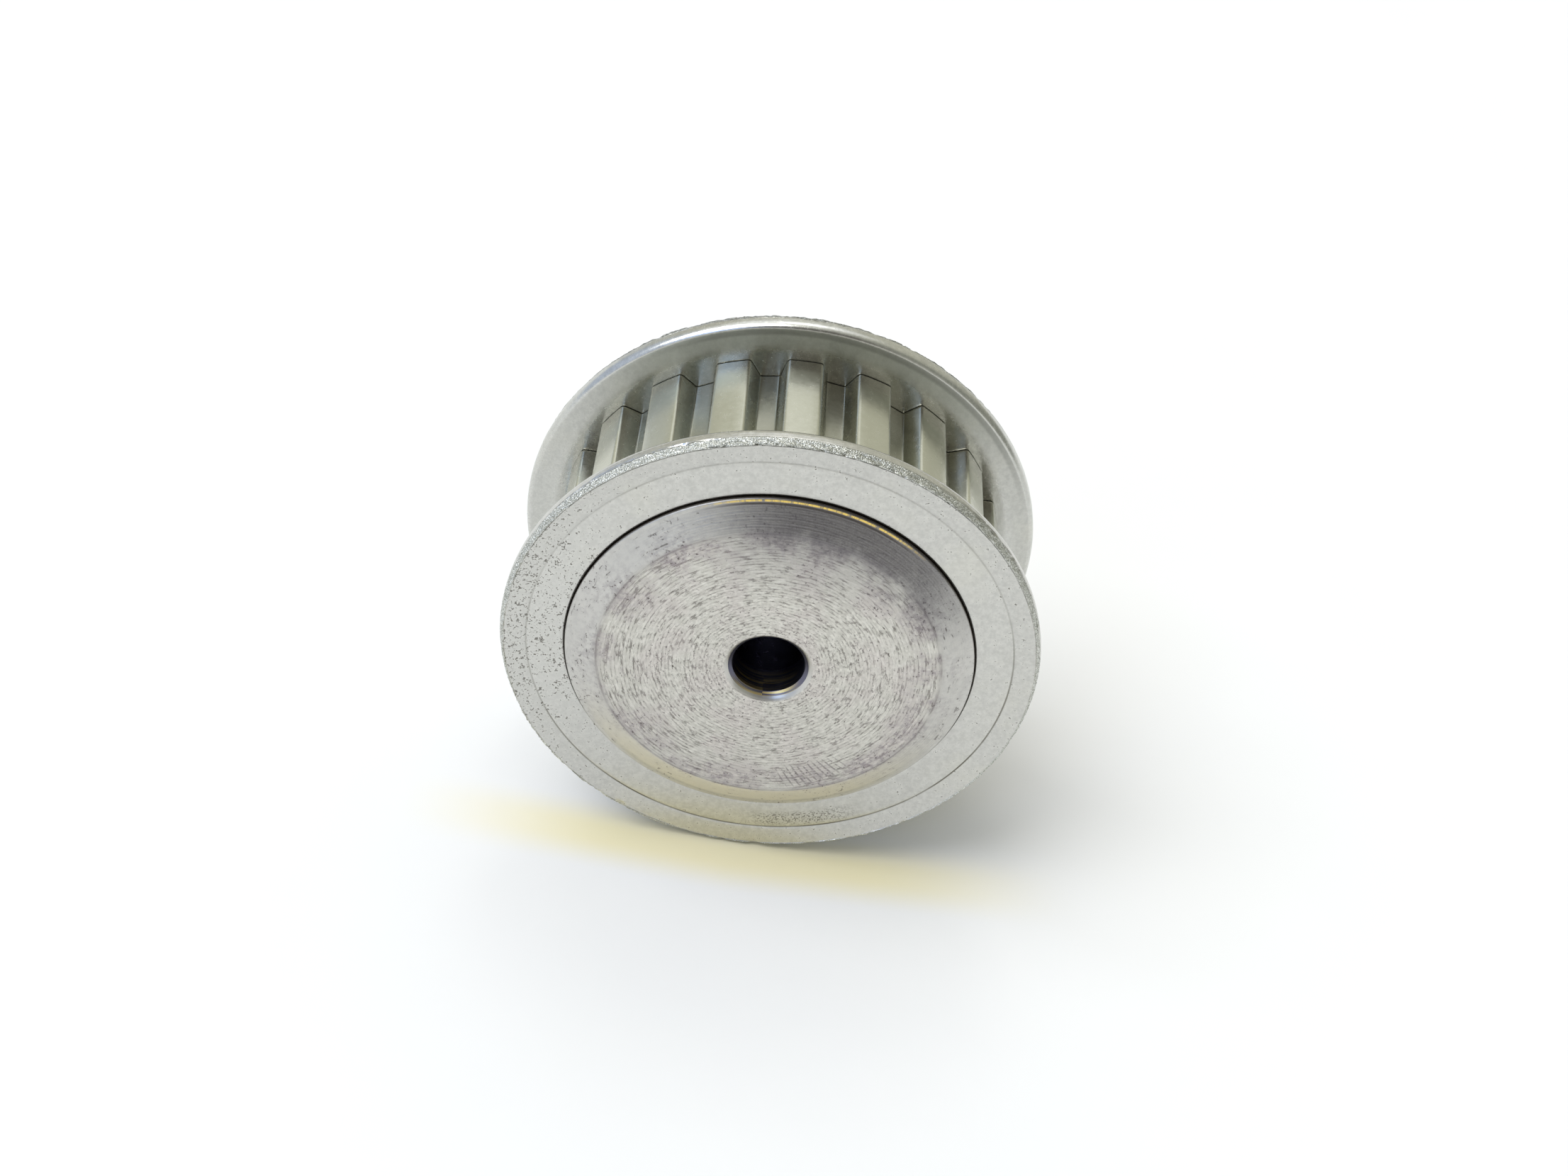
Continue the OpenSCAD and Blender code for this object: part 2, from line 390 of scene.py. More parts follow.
def grub_screw(name, node, turn):
    """Threaded screw with a cup point at z = 0 and a hexagon socket at the far end."""
    low, high = limits(node)
    length = (high - low)[0 if turn else 2]
    around = np.linspace(0, 2 * math.pi, SCREW_STEPS, endpoint=False)
    z = np.arange(0.02, length - 0.02, THREAD_PITCH / SAMPLES_PER_PITCH)
    away = thread_phase(z[:, None], around[None, :])
    slope = math.tan(math.radians(30))
    thread = np.clip(THREAD_R - (away - CREST) / slope, THREAD_R - THREAD_DEPTH, THREAD_R)
    point = CUP_R + z[:, None]
    head = THREAD_R - SCREW_CHAMFER + length - z[:, None]
    shank = np.minimum(thread, np.minimum(point, head))
    six = hexagon(around, SOCKET_AF)
    one = np.ones_like(around)
    cup_depth = CUP_R * math.tan(math.radians(30))
    floor = length - SOCKET_DEPTH
    rows = [(one * r, cup_depth * (1 - r / CUP_R)) for r in (0.3, 0.6, 0.9, 0.97)]
    rows += [(shank[j], z[j]) for j in range(len(z))]
    rows += [(one * (THREAD_R - SCREW_CHAMFER - 0.05), length)]
    rows += [(one * 1.3, length), (six * 1.05, length), (six, length - 0.06)]
    rows += [(six, h) for h in np.linspace(length - 0.5, floor, 6)]
    rows += [(six * 0.86, floor), (one * 0.7, floor - 0.2), (one * 0.3, floor - 0.42)]
    radii = np.array([r for r, h in rows])
    heights = np.array([h for r, h in rows])[:, None] + 0 * radii
    points = np.stack([radii * np.cos(around), radii * np.sin(around), heights], axis=2)
    poles = [(0, 0, cup_depth), (0, 0, floor - 0.58)]
    screw = mesh_from_rings(name, points, wrap=False, poles=poles)
    smooth_but_sharp(screw, 35)
    screw.matrix_world = screw_matrix(node, turn)
    return screw


# ---------------------------------------------------------------- flanges


def flange_profile():
    """(radius, height above the belt side) from the hole along the belt side, round the rim and back."""
    lean = math.tan(math.radians(FLARE))
    rim = float(limits("front_flange")[1][0])
    roll = (rim - ROLL_W, (rim - ROLL_W - BEND_R) * lean + ROLL_H)
    edge = rim - TEAR_TAPER
    top = FLANGE_T + (edge - BEND_R) * lean
    points = subdivide([(HOLE_R, 0.1), (HOLE_R + 0.1, 0.0), (BEND_R - 0.25, 0.0)], 0.3)
    points += [(BEND_R - 0.1, 0.005), (BEND_R + 0.05, 0.02)]
    start = arc(roll, ROLL_W, -84, 0, 10, ROLL_H)
    points += subdivide([(BEND_R + 0.2, 0.2 * lean), start[0]], 0.25)[:-1]
    points += start
    shear_end = roll[1] + SHEAR_BAND
    points += subdivide([start[-1], (rim, shear_end)], 0.11)[1:]
    points += subdivide([(rim, shear_end), (edge + 0.02, top - 0.04)], 0.07)[1:]
    points += [(edge - 0.03, top)]
    face = (edge - 0.12, FLANGE_T + (edge - 0.12 - BEND_R) * lean)
    points += subdivide([face, (BEND_R + 0.12, FLANGE_T + 0.12 * lean)], 0.2)
    points += [(BEND_R + 0.05, FLANGE_T - 0.006), (BEND_R, FLANGE_T - 0.028)]
    points += [(BEND_R - 0.05, FLANGE_T - 0.012)]
    points += subdivide([(BEND_R - 0.14, FLANGE_T), (LIP_R + 0.2, FLANGE_T)], 0.26)
    points += [(LIP_R + 0.13, FLANGE_T - 0.015), (LIP_R + 0.07, FLANGE_T - 0.07)]
    points += [(LIP_R, FLANGE_T - 0.16), (HOLE_R, FLANGE_T - 0.24)]
    return points, shear_end, top


def flange(name, node, sign, seed):
    """A pressed sheet flange: rolled edge, sheared band and torn band as the blanking left them."""
    profile, shear_end, top = flange_profile()
    rng = np.random.default_rng(seed)
    angles = np.linspace(0, 360, RIM_STEPS, endpoint=False)
    radii = np.array([r for r, h in profile])[:, None] + 0 * angles[None, :]
    rise = np.array([h for r, h in profile])[:, None] + 0 * angles[None, :]
    shape = radii.shape
    rim = radii.max()
    on_rim = smoothstep(radii, rim - 0.5, rim - 0.24)
    wander = 0.07 * ring_noise(rng, 1, RIM_STEPS, 30, 0)
    torn = on_rim * smoothstep(rise + wander, shear_end - 0.03, shear_end + 0.07)
    sheared = on_rim * smoothstep(rise, 0.7, 0.85) * (1 - torn)
    grain = np.abs(ring_noise(rng, *shape, 2.2, 0.8))
    coarse = np.abs(ring_noise(rng, *shape, 7, 1.5))
    streak = ring_noise(rng, 1, RIM_STEPS, 2.5, 0)
    radii -= torn * (0.06 * grain + 0.04 * coarse) + sheared * 0.004 * np.clip(streak + 1.5, 0, 4)
    corner = np.exp(-(((rise - top) / 0.1) ** 2)) * on_rim
    nick = np.clip(ring_noise(rng, 1, RIM_STEPS, 6, 0) - 1.4, 0, 2)
    rise -= corner * (0.02 * grain + 0.05 * nick)
    radii -= corner * 0.05 * nick
    outer = smoothstep(rise, FLANGE_T - 0.1, FLANGE_T - 0.02) * (radii < rim - 0.3) * (radii > LIP_R + 0.2)
    rise -= outer * 0.004 * np.clip(ring_noise(rng, *shape, 40, 6) + 2, 0, 4)
    wave = 0.004 * np.clip(ring_noise(rng, 1, RIM_STEPS, 70, 0) + 2, 0, 4)
    radii -= on_rim * wave
    heights = sign * (half_face() + rise)
    if sign < 0:  # mirrored rings go in reverse, so that the faces still point outwards
        radii, heights = radii[::-1], heights[::-1]
    piece = turned(name, radii, heights, angles)
    smooth_but_sharp(piece, 50)
    return piece


# ---------------------------------------------------------------- material helpers


class Shader:
    """Short calls for wiring one material's nodes. Lengths inside it are in millimetres."""

    def __init__(self, name):
        self.material = bpy.data.materials.new(name)
        self.material.use_nodes = True
        self.tree = self.material.node_tree
        self.bsdf = self.tree.nodes["Principled BSDF"]
        coords = self.node("ShaderNodeTexCoord")
        scaled = self.node("ShaderNodeVectorMath", operation="SCALE")
        scaled.inputs["Scale"].default_value = 1000
        self.link(coords.outputs["Object"], scaled.inputs[0])
        self.place = scaled.outputs[0]
        split = self.node("ShaderNodeSeparateXYZ")
        self.link(self.place, split.inputs[0])
        self.x, self.y, self.z = split.outputs
        normal = self.node("ShaderNodeSeparateXYZ")
        self.link(coords.outputs["Normal"], normal.inputs[0])
        self.normal_y = normal.outputs[1]

    def node(self, kind, **settings):
        """A new node of that kind."""
        made = self.tree.nodes.new(kind)
        for key, value in settings.items():
            setattr(made, key, value)
        return made

    def link(self, source, target):
        self.tree.links.new(source, target)

    def put(self, socket, value):
        """Links a socket to an input, or sets the input to a plain value."""
        if isinstance(value, bpy.types.NodeSocket):
            self.link(value, socket)
        else:
            socket.default_value = value

    def math(self, operation, *values):
        """One maths node, fed with sockets or numbers."""
        made = self.node("ShaderNodeMath", operation=operation)
        for socket, value in zip(made.inputs, values):
            self.put(socket, value)
        return made.outputs[0]

    def smooth(self, value, low, high):
        """0 below low, 1 above high, smooth between."""
        made = self.node("ShaderNodeMapRange", interpolation_type="SMOOTHSTEP")
        for socket, item in zip(made.inputs, (value, low, high, 0.0, 1.0)):
            self.put(socket, item)
        return made.outputs[0]

    def band(self, value, low, high, soft):
        """1 between low and high, fading over soft on both sides."""
        up = self.smooth(value, low - soft, low + soft)
        down = self.smooth(value, high - soft, high + soft)
        return self.math("SUBTRACT", up, down)

    def rest(self, value):
        """What is left of 1."""
        return self.math("SUBTRACT", 1.0, value)

    def product(self, *values):
        result = values[0]
        for value in values[1:]:
            result = self.math("MULTIPLY", result, value)
        return result

    def total(self, *values):
        result = values[0]
        for value in values[1:]:
            result = self.math("ADD", result, value)
        return result

    def polar(self):
        """Radius from the bore axis, angle from straight up in degrees."""
        radius = self.math("SQRT", self.total(self.product(self.x, self.x), self.product(self.z, self.z)))
        angle = self.math("MULTIPLY", self.math("ARCTAN2", self.x, self.z), 180 / math.pi)
        return radius, angle

    def vector(self, x, y, z):
        """A place made from three numbers or sockets."""
        made = self.node("ShaderNodeCombineXYZ")
        for socket, value in zip(made.inputs, (x, y, z)):
            self.put(socket, value)
        return made.outputs[0]

    def rings(self, radius, angle, across, along):
        """A place for noise that is drawn out into arcs round the bore axis."""
        return self.vector(
            self.math("MULTIPLY", radius, across),
            self.math("MULTIPLY", angle, along),
            self.math("MULTIPLY", self.y, across),
        )

    def moved(self, offset):
        """The place shifted by a fixed offset, so that noise made there is different."""
        made = self.node("ShaderNodeVectorMath", operation="ADD")
        self.link(self.place, made.inputs[0])
        made.inputs[1].default_value = offset
        return made.outputs[0]

    def noise(self, place, scale, detail=3.0, roughness=0.55):
        """Cloudy noise around 0.5, with that many features to a millimetre."""
        made = self.node("ShaderNodeTexNoise")
        self.link(place, made.inputs["Vector"])
        made.inputs["Scale"].default_value = scale
        made.inputs["Detail"].default_value = detail
        made.inputs["Roughness"].default_value = roughness
        return made.outputs["Fac"]

    def mix(self, factor, a, b):
        """Colour a, or b where factor is 1."""
        made = self.node("ShaderNodeMix", data_type="RGBA")
        self.put(made.inputs[0], factor)
        for socket, value in ((made.inputs[6], a), (made.inputs[7], b)):
            self.put(socket, (*value, 1.0) if isinstance(value, tuple) else value)
        return made.outputs[2]

    def blend(self, factor, low, high):
        """A number running from low to high as factor runs from 0 to 1."""
        return self.math("MULTIPLY_ADD", factor, high - low, low)

    def finish(self, colour, roughness, height, metallic=1.0):
        """Connects colour, roughness and a relief height in millimetres."""
        self.link(colour, self.bsdf.inputs["Base Color"])
        self.link(roughness, self.bsdf.inputs["Roughness"])
        self.bsdf.inputs["Metallic"].default_value = metallic
        bump = self.node("ShaderNodeBump")
        bump.inputs["Strength"].default_value = 1.0
        bump.inputs["Distance"].default_value = MM
        self.link(height, bump.inputs["Height"])
        self.link(bump.outputs[0], self.bsdf.inputs["Normal"])
        return self.material


# ---------------------------------------------------------------- aluminium


def aluminium_material():
    """Turned and hobbed aluminium: tool lines, painted shade and a painted dark reflection high on the
    face and slope, a painted gold highlight and painted shade on the lip, a painted warm reflection low on
    the slope, dirt and painted shade at the staked lip's gap, dark bore with a painted warm reflection low
    down.
    """
    s = Shader("turned_aluminium_worn")
    s.radius, s.angle = s.polar()
    s.side = s.math("ABSOLUTE", s.y)
    s.forward = s.math("MULTIPLY", s.y, -1.0)
    s.from_top = s.math("ABSOLUTE", s.angle)
    flange_out = half_face() + FLANGE_T
    s.front = s.smooth(s.forward, flange_out - 0.05, flange_out + 0.2)
    s.face = s.product(s.front, s.smooth(s.radius, 2.9, 3.1))
    s.cloud = s.noise(s.place, 0.35, 4)
    s.grain = s.noise(s.place, 2.2, 5, 0.65)
    s.fine = s.noise(s.place, 9.0, 3, 0.6)
    s.lines = s.noise(s.rings(s.radius, s.angle, 2.7, 0.13), 1.5, 4, 0.7)
    s.hairs = s.noise(s.rings(s.radius, s.angle, 4.2, 0.15), 1.3, 3, 0.6)
    s.tool_rings = tool_rings(s)
    s.chatter = chatter(s)
    # dark dirt and painted shade in the gap between the lip and the flange
    s.grime = s.product(s.smooth(s.radius, LIP_R - 0.05, LIP_R), s.smooth(s.side, 6.0, 6.5))
    toothed = s.math("LESS_THAN", s.side, half_face() + 0.01)
    inside = s.math("LESS_THAN", s.radius, 2.75)

    colour = s.mix(s.cloud, (0.53, 0.52, 0.49), (0.62, 0.61, 0.58))
    colour = s.mix(s.product(s.face, s.rest(s.smooth(s.radius, 11.4, 12.1))), colour, faced_colour(s))
    colour = with_face_wear_and_reflection(s, colour)
    colour = with_face_shade_and_dark_reflection(s, colour)
    colour = with_lip_lines(s, colour)
    colour = s.mix(toothed, colour, teeth_colour(s))
    colour = s.mix(inside, colour, bore_colour(s))

    rough = s.blend(s.grain, 0.26, 0.42)
    rough = s.total(rough, s.product(s.face, 0.04), s.product(s.grime, 0.3), s.product(toothed, -0.09))
    return s.finish(colour, rough, aluminium_relief(s, toothed))


def tool_rings(s):
    """Waves across the rings that the facing tool left, 0.25 mm apart and not quite round."""
    wander = s.noise(s.rings(s.radius, s.angle, 0.5, 0.02), 1.0, 2, 0.5)
    shifted = s.total(s.radius, s.product(wander, 0.7))
    return s.math("SINE", s.math("MULTIPLY", shifted, 2 * math.pi / 0.25))


def chatter(s):
    """Short chatter marks left by the facing tool, low on the front face."""
    ripple = s.math("SINE", s.math("MULTIPLY", s.math("MULTIPLY_ADD", s.radius, 2.0, s.angle), 2.6))
    where = s.product(s.band(s.radius, 9.2, 11.4, 0.7), s.band(s.angle, 138, 168, 9))
    return s.product(ripple, where)


def faced_colour(s):
    """The flat of the front face: dark and bright tool lines and a faint pinkish blush."""
    colour = s.mix(s.smooth(s.grain, 0.35, 0.65), (0.57, 0.555, 0.505), (0.69, 0.675, 0.62))
    ringed = s.product(s.smooth(s.tool_rings, 0.1, 0.9), s.smooth(s.lines, 0.40, 0.58))
    colour = s.mix(s.product(ringed, 0.7), colour, (0.28, 0.265, 0.24))
    colour = s.mix(s.product(s.smooth(s.lines, 0.56, 0.62), 0.75), colour, (0.22, 0.205, 0.185))
    colour = s.mix(s.product(s.smooth(s.hairs, 0.52, 0.62), 0.38), colour, (0.86, 0.84, 0.78))
    return s.mix(s.product(s.smooth(s.cloud, 0.42, 0.62), 0.18), colour, (0.60, 0.50, 0.52))


def with_face_wear_and_reflection(s, colour):
    """Adds the staking step, the worn ring inside it, dashes, pits and chatter marks, and a painted warm
    reflection low on the staked slope.
    """
    step = s.product(s.front, s.band(s.radius, 11.55, 11.9, 0.2), s.blend(s.cloud, 0.1, 0.6))
    colour = s.mix(step, colour, (0.34, 0.32, 0.30))
    rim_line = s.product(s.front, s.band(s.radius, 11.70, 11.82, 0.05), s.smooth(s.cloud, 0.36, 0.56))
    colour = s.mix(s.product(rim_line, 0.5), colour, (0.16, 0.14, 0.14))
    patchy = s.product(s.smooth(s.grain, 0.35, 0.70), s.smooth(s.cloud, 0.34, 0.62))
    worn = s.product(s.face, s.band(s.radius, 9.8, 12.6, 1.6), patchy)
    colour = s.mix(s.product(worn, 0.85), colour, (0.27, 0.235, 0.25))
    dashes = s.product(s.face, s.smooth(s.hairs, 0.38, 0.31), s.smooth(s.grain, 0.44, 0.54))
    colour = s.mix(s.product(dashes, 0.9), colour, (0.11, 0.095, 0.085))

    slope = s.product(s.front, s.smooth(s.radius, 11.7, 11.95))
    colour = s.mix(s.product(slope, s.smooth(s.grain, 0.42, 0.66), 0.35), colour, (0.44, 0.43, 0.42))
    # painted warm reflection low on the staked slope
    slope_warm_reflection = s.product(slope, s.smooth(s.from_top, 105, 165), s.smooth(s.radius, 13.6, 13.2))
    colour = s.mix(s.product(slope_warm_reflection, 0.7), colour, (0.80, 0.77, 0.70))

    pits = s.product(s.face, s.smooth(s.noise(s.place, 4.6, 2, 0.5), 0.61, 0.66))
    pits = s.product(pits, s.smooth(s.grain, 0.45, 0.54), s.smooth(s.cloud, 0.42, 0.58))
    colour = s.mix(s.product(pits, 0.8), colour, (0.11, 0.095, 0.09))
    hatch = s.product(s.face, s.smooth(s.chatter, 0.25, 0.8), s.smooth(s.lines, 0.56, 0.46))
    return s.mix(s.product(hatch, 0.6), colour, (0.14, 0.12, 0.12))


def with_face_shade_and_dark_reflection(s, colour):
    """Adds a ragged painted dark reflection high on the staked slope and painted shade on the face just
    inside it.
    """
    drift = s.math("MULTIPLY_ADD", s.cloud, 4.0, -2.0)
    ragged = s.total(s.radius, drift, s.math("MULTIPLY_ADD", s.grain, 1.8, -0.9))
    # painted shade high on the front face
    face_shade = s.product(s.smooth(ragged, 5.5, 10.0), s.band(s.angle, -24, 34, 16), s.face)
    colour = s.mix(s.product(face_shade, 0.32), colour, (0.18, 0.17, 0.18))
    # painted dark reflection, ragged, high on the staked slope
    slope_dark_reflection = s.product(s.band(ragged, 11.0, 15.2, 1.5), s.band(s.angle, -16, 58, 18), s.front)
    return s.mix(s.product(slope_dark_reflection, s.blend(s.fine, 0.5, 1.0)), colour, (0.125, 0.118, 0.125))


def with_lip_lines(s, colour):
    """Adds a painted shade line and a broken painted gold highlight along the lip's top, and the dark dirt
    and painted shade in the gap against the flange.
    """
    high = s.product(s.band(s.angle, -22, 32, 9), s.front)
    # painted shade along the top of the lip
    dark = s.product(high, s.band(s.radius, LIP_R - 0.42, LIP_R - 0.26, 0.05), 0.75)
    colour = s.mix(dark, colour, (0.07, 0.06, 0.055))
    broken = s.noise(s.vector(s.math("MULTIPLY", s.angle, 0.5), 0.0, 0.0), 1.0, 3, 0.7)
    # painted warm highlight, broken, on the lip's rounded top edge
    lip_gold_highlight = s.product(high, s.band(s.radius, LIP_R - 0.22, LIP_R - 0.08, 0.03))
    colour = s.mix(s.product(lip_gold_highlight, s.smooth(broken, 0.36, 0.54)), colour, (0.95, 0.70, 0.20))
    # dirt and painted shade in the gap against the flange
    return s.mix(s.product(s.grime, s.blend(s.cloud, 0.6, 1.0)), colour, (0.05, 0.036, 0.024))


def teeth_colour(s):
    """Olive oxide on the teeth, with painted shade deeper in the grooves, a painted dark reflection
    towards the rear flange, and black dirt and painted shade in the end seams.
    """
    colour = s.mix(s.grain, (0.54, 0.54, 0.45), (0.64, 0.64, 0.55))
    # painted shade deeper in the grooves
    groove_shade = s.rest(s.smooth(s.radius, 14.7, 15.5))
    colour = s.mix(s.product(groove_shade, 0.5), colour, (0.24, 0.24, 0.19))
    # painted dark reflection towards the rear flange
    rear_dark_reflection = s.product(s.smooth(s.y, 3.4, 5.4), s.blend(s.grain, 0.1, 0.6))
    colour = s.mix(rear_dark_reflection, colour, (0.30, 0.28, 0.22))
    # black dirt and painted shade in the end seams
    seam = s.smooth(s.side, half_face() - 0.075, half_face() - 0.035)
    return s.mix(seam, colour, (0.02, 0.018, 0.014))


def bore_colour(s):
    """Dark bore with rings of painted warm reflection low down, near the front mouth."""
    place = s.vector(0.0, s.math("MULTIPLY", s.y, 4.0), s.math("MULTIPLY", s.angle, 0.004))
    rings = s.smooth(s.noise(place, 1.0, 3, 0.7), 0.4, 0.6)
    # painted warm reflection on the upward-facing bottom of the bore
    bore_warm_reflection = s.product(rings, s.smooth(s.from_top, 110, 150), s.smooth(s.forward, 5.4, 7.4))
    return s.mix(bore_warm_reflection, (0.15, 0.15, 0.20), (0.85, 0.68, 0.30))


def aluminium_relief(s, toothed):
    """Height in millimetres of the tool marks and grain."""
    flatness = s.smooth(s.math("ABSOLUTE", s.normal_y), 0.55, 0.9)
    off_teeth = s.rest(toothed)
    wavy = s.total(s.radius, s.product(s.cloud, 0.06))
    facing = s.math("SINE", s.math("MULTIPLY", wavy, 2 * math.pi / 0.16))
    turning = s.math("SINE", s.math("MULTIPLY", s.y, 2 * math.pi / 0.14))
    return s.total(
        s.product(facing, flatness, off_teeth, 0.0016),
        s.product(turning, s.rest(flatness), off_teeth, 0.0008),
        s.product(s.lines, s.face, 0.012),
        s.product(s.hairs, s.face, 0.006),
        s.product(s.tool_rings, s.face, s.smooth(s.lines, 0.40, 0.58), -0.0035),
        s.product(s.grain, 0.003),
        s.product(s.fine, 0.0025),
        s.product(s.chatter, s.face, 0.006),
    )


# ---------------------------------------------------------------- zinc plate


def plated_material(name, seed, tint, edge):
    """Bright zinc plate on pressed steel, handled. edge is how bright the torn band's painted glints are;
    the rear flange's copy dims them as painted shade.
    """
    s = Shader(name)
    s.radius, s.angle = s.polar()
    place = s.moved((seed * 3.7, seed * 1.9, seed * 5.3))
    s.cloud = s.noise(place, 0.22, 3)
    s.mottle = s.noise(place, 2.6, 5, 0.7)
    s.fine = s.noise(place, 7.0, 3, 0.6)
    s.sparkle = s.noise(place, 11.0, 2, 0.5)
    s.side = s.math("ABSOLUTE", s.y)
    s.flat = half_face() + FLANGE_T
    s.outer = s.smooth(s.side, s.flat - 0.3, s.flat - 0.15)
    rim = s.smooth(s.radius, 18.1, 18.2)
    torn = s.product(rim, s.smooth(s.side, s.flat - 0.34, s.flat - 0.26))
    inner = s.product(s.rest(s.outer), s.rest(rim))
    belt_side_reflection_zone = s.product(inner, s.smooth(s.radius, 16.4, 17.4))
    specks = plate_specks(s)
    in_gap = s.rest(s.smooth(s.radius, LIP_R + 0.02, LIP_R + 0.08))
    # dark dirt and painted shade at the flange's hole, in the gap under the lip
    grime = s.product(in_gap, s.smooth(s.side, s.flat - 0.65, s.flat - 0.45))

    colour = with_plate_marks(s, plate_colour(s, tint), specks)
    colour = s.mix(grime, colour, (0.05, 0.036, 0.024))
    # darker outer corner of the rim, all round
    dark_rim_corner = s.product(s.outer, s.smooth(s.radius, 18.10, 18.24), s.smooth(s.mottle, 0.34, 0.52))
    colour = s.mix(s.product(dark_rim_corner, 0.65), colour, (0.17, 0.16, 0.13))
    dull, bright = (tuple(c * edge for c in shade) for shade in (TORN_DULL, TORN_BRIGHT))
    # painted glints on the torn band
    glints = s.mix(s.smooth(s.sparkle, 0.42, 0.62), dull, bright)
    colour = s.mix(s.product(torn, 0.75), colour, glints)
    # painted reflection: a green-grey ring high on the belt side
    colour = s.mix(s.product(belt_side_reflection_zone, s.band(s.angle, -46, 46, 14), 0.4), colour, (0.38, 0.41, 0.34))
    # painted dark reflection band just inside the rim, high on the belt side
    rim_dark_reflection = s.product(inner, s.band(s.radius, 17.75, 18.2, 0.12), s.band(s.angle, -30, 60, 15))
    colour = s.mix(s.product(rim_dark_reflection, 0.5), colour, (0.19, 0.19, 0.17))

    rough = s.total(s.blend(s.mottle, 0.19, 0.31), s.product(s.outer, 0.06), s.product(grime, 0.3))
    rough = s.total(rough, s.product(specks, 0.2), s.product(belt_side_reflection_zone, 0.16))
    arcs = s.noise(s.rings(s.radius, s.angle, 7.0, 0.03), 1.0, 4, 0.7)
    height = s.total(
        s.product(s.mottle, 0.006),
        s.product(s.fine, s.blend(s.outer, 0.001, 0.0025)),
        s.product(arcs, s.outer, 0.004),
        s.product(s.sparkle, torn, 0.10),
    )
    return s.finish(colour, rough, height)


def plate_colour(s, tint):
    """Mottled plate, warmer in clouds, with the bend line that is strongest low down."""
    light = tuple(min(1.0, c * 1.07) for c in tint)
    dark = tuple(c * 0.87 for c in tint)
    colour = s.mix(s.smooth(s.mottle, 0.3, 0.7), dark, light)
    colour = s.mix(s.product(s.smooth(s.cloud, 0.5, 0.75), 0.3), colour, (0.66, 0.65, 0.57))
    bend = s.product(s.band(s.radius, BEND_R - 0.05, BEND_R + 0.06, 0.035), s.outer)
    lower = s.smooth(s.math("ABSOLUTE", s.angle), 50, 110)
    strength = s.product(s.blend(s.smooth(s.cloud, 0.35, 0.65), 0.6, 1.0), s.blend(lower, 0.3, 1.0))
    return s.mix(s.product(bend, strength), colour, (0.17, 0.16, 0.13))


def plate_specks(s):
    """Dark specks, thickest on the outer side's left edge."""
    rimward = s.smooth(s.radius, 15.8, 18.0)
    threshold = s.total(0.667, s.product(left_side(s), -0.06), s.product(rimward, -0.02))
    level = s.math("SUBTRACT", s.product(s.total(s.fine, s.mottle), 0.5), threshold)
    return s.product(s.smooth(level, -0.055, -0.03), s.blend(s.outer, 0.12, 0.8))


def left_side(s):
    """Where the pulley's left side lies."""
    return s.band(s.angle, -125, -55, 25)


def with_plate_marks(s, colour, specks):
    """Adds the paler left side, a painted reflection, the specks, and scuffs low on the outer side."""
    # painted reflection: the left part of the outer side lighter
    colour = s.mix(s.product(left_side(s), s.outer, 0.4), colour, (0.69, 0.685, 0.65))
    colour = s.mix(specks, colour, (0.13, 0.12, 0.10))
    where = s.product(s.band(s.radius, 15.2, 16.4, 0.3), s.band(s.angle, 150, 174, 6), s.outer)
    scuffs = s.product(where, s.smooth(s.fine, 0.48, 0.6))
    return s.mix(s.product(scuffs, 0.8), colour, (0.16, 0.15, 0.13))


# ---------------------------------------------------------------- black oxide and floor


def blackened_material(name, seed):
    """Black oxide on steel, rubbed to bare metal along the thread crests and socket edge."""
    s = Shader(name)
    place = s.moved((seed * 2.3, seed * 4.1, seed * 1.7))
    mottle = s.noise(place, 2.0, 4, 0.6)
    fine = s.noise(place, 11.0, 3, 0.6)
    radius = s.math("SQRT", s.total(s.product(s.x, s.x), s.product(s.y, s.y)))
    crest = s.product(s.smooth(radius, THREAD_R - 0.07, THREAD_R - 0.01), s.smooth(mottle, 0.35, 0.6))
    colour = s.mix(mottle, (0.030, 0.031, 0.036), (0.075, 0.072, 0.072))
    colour = s.mix(s.product(crest, 0.7), colour, (0.30, 0.29, 0.28))
    rough = s.total(s.blend(fine, 0.34, 0.52), s.product(crest, -0.08))
    height = s.total(s.product(fine, 0.004), s.product(mottle, 0.004))
    return s.finish(colour, rough, height)


def paper_material():
    """Plain pale floor, with a soft warm patch of light in front of where the part stands."""
    s = Shader("pale_floor")
    s.bsdf.inputs["Roughness"].default_value = 0.7
    fibre = s.noise(s.place, 0.05, 4)
    front_edge = -START_BOUNDS[0][1] / MM
    ahead = s.math("SUBTRACT", s.math("MULTIPLY", s.y, -1.0), front_edge)
    reach = s.total(ahead, s.product(s.math("ABSOLUTE", s.x), 0.04))
    patch = s.product(s.band(reach, -1.5, 2.6, 1.6), s.band(s.x, -17.0, 18.0, 9.0))
    plain = s.mix(fibre, (0.885, 0.885, 0.88), (0.92, 0.92, 0.915))
    s.link(s.mix(s.product(patch, 0.9), plain, (0.93, 0.85, 0.54)), s.bsdf.inputs["Base Color"])
    return s.material


# ---------------------------------------------------------------- pieces


def dress(piece, material, body, node):
    """Gives a piece its material and its place in the part."""
    piece.data.materials.clear()
    piece.data.materials.append(material)
    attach(piece, body)
    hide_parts(node)


